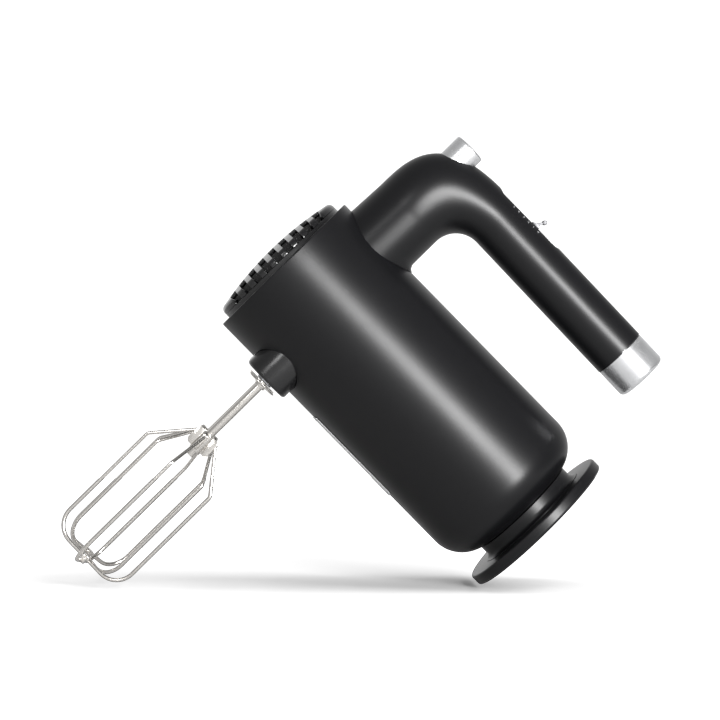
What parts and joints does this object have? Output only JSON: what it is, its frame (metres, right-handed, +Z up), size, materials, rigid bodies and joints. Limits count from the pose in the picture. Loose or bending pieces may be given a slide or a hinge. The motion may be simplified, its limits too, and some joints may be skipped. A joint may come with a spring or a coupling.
{
  "type": "hand mixer",
  "caption": "Upright-standing electric hand mixer: round barrel, hooked handle, vented nose, cord-wrap heel, wire beaters.",
  "frame": {"origin": "centre of the round heel's flat underside, on which the mixer stands for storage", "axes": "+Z up the barrel's axis towards the vented nose, +X towards the handle, -X towards the beaters, +Y to the user's right"},
  "size_m": [0.3057, 0.092, 0.2079],
  "materials": {
    "soft_black": "soft-touch matt black",
    "gloss_black": "smooth black moulding",
    "satin_silver": "satin silver",
    "chrome": "polished",
    "steel": "plain machined",
    "copper": "enamelled copper wire",
    "bronze": "sintered bronze",
    "nylon": "natural engineering plastic",
    "carbon": "dull carbon",
    "label_foil": "thin foil label",
    "lead_sleeve": "black sleeve"
  },
  "bodies": {
    "housing": {"body_shell_left": "soft_black", "body_shell_right": "soft_black", "handle_shell_left": "soft_black", "handle_shell_right": "soft_black", "cord_spool_neck": "soft_black", "heel_disc": "soft_black", "heel_screw_1": "steel", "heel_screw_2": "steel", "heel_screw_3": "steel", "front_grille": "gloss_black", "beater_socket_boss": "gloss_black", "speed_panel": "gloss_black", "grip_end_cap": "satin_silver", "rating_label": "label_foil", "cord_inlet_grommet": "lead_sleeve", "internal_leads": "lead_sleeve", "speed_switch": "nylon", "stator_core": "steel", "field_coil_left": "copper", "field_coil_right": "copper", "motor_front_bracket": "nylon", "motor_rear_bracket": "nylon", "motor_screw_1": "steel", "motor_screw_2": "steel", "rear_bearing": "bronze", "gearbox_bearing": "bronze", "front_bearing": "bronze", "brush_holder_1": "bronze", "brush_holder_2": "bronze", "carbon_brush_1": "carbon", "carbon_brush_2": "carbon", "gearbox_frame": "nylon", "gearbox_cover": "nylon", "gearbox_screw_1": "steel", "gearbox_screw_2": "steel", "gearbox_screw_3": "steel", "gearbox_screw_4": "steel", "eject_spring": "steel"},
    "rotor": {"motor_shaft": "steel", "armature_core": "steel", "armature_winding": "copper", "commutator": "copper", "cooling_fan": "nylon"},
    "gear_left": {"worm_gear_left": "nylon", "drive_socket_left": "steel"},
    "gear_right": {"worm_gear_right": "nylon", "drive_socket_right": "steel"},
    "beater_left": {"beater_shaft_left": "chrome", "beater_hub_left": "chrome", "beater_loop_outer_left": "chrome", "beater_loop_inner_left": "chrome"},
    "beater_right": {"beater_shaft_right": "chrome", "beater_hub_right": "chrome", "beater_loop_outer_right": "chrome", "beater_loop_inner_right": "chrome"},
    "ejector": {"eject_button": "satin_silver", "eject_push_rod": "nylon", "eject_plate": "nylon"},
    "speed_slider": {"speed_slider": "satin_silver"}
  },
  "joints": [
    {"name": "rotor_spin", "type": "hinge", "parent": "housing", "child": "rotor", "pos_m": [0, 0, 0.1], "axis": [0, 0, 1], "continuous": true},
    {"name": "gear_left_spin", "type": "hinge", "parent": "housing", "child": "gear_left", "pos_m": [0, -0.016, 0.1602], "axis": [1, 0, 0], "continuous": true},
    {"name": "gear_right_spin", "type": "hinge", "parent": "housing", "child": "gear_right", "pos_m": [0, 0.016, 0.1602], "axis": [1, 0, 0], "continuous": true},
    {"name": "beater_left_release", "type": "slide", "parent": "gear_left", "child": "beater_left", "axis": [-1, 0, 0], "range_m": [0, 0.056]},
    {"name": "beater_right_release", "type": "slide", "parent": "gear_right", "child": "beater_right", "axis": [-1, 0, 0], "range_m": [0, 0.056]},
    {"name": "eject_press", "type": "slide", "parent": "housing", "child": "ejector", "axis": [-1, 0, 0], "range_m": [0, 0.005], "stiffness_N_per_m": 300, "deforming": ["eject_spring"]},
    {"name": "speed_slide", "type": "slide", "parent": "housing", "child": "speed_slider", "axis": [0, 0, 1], "range_m": [0, 0.018]}
  ],
  "couplings": [
    {"joint": "gear_left_spin", "follows": "rotor_spin", "ratio": -0.05},
    {"joint": "gear_right_spin", "follows": "rotor_spin", "ratio": 0.05}
  ]
}
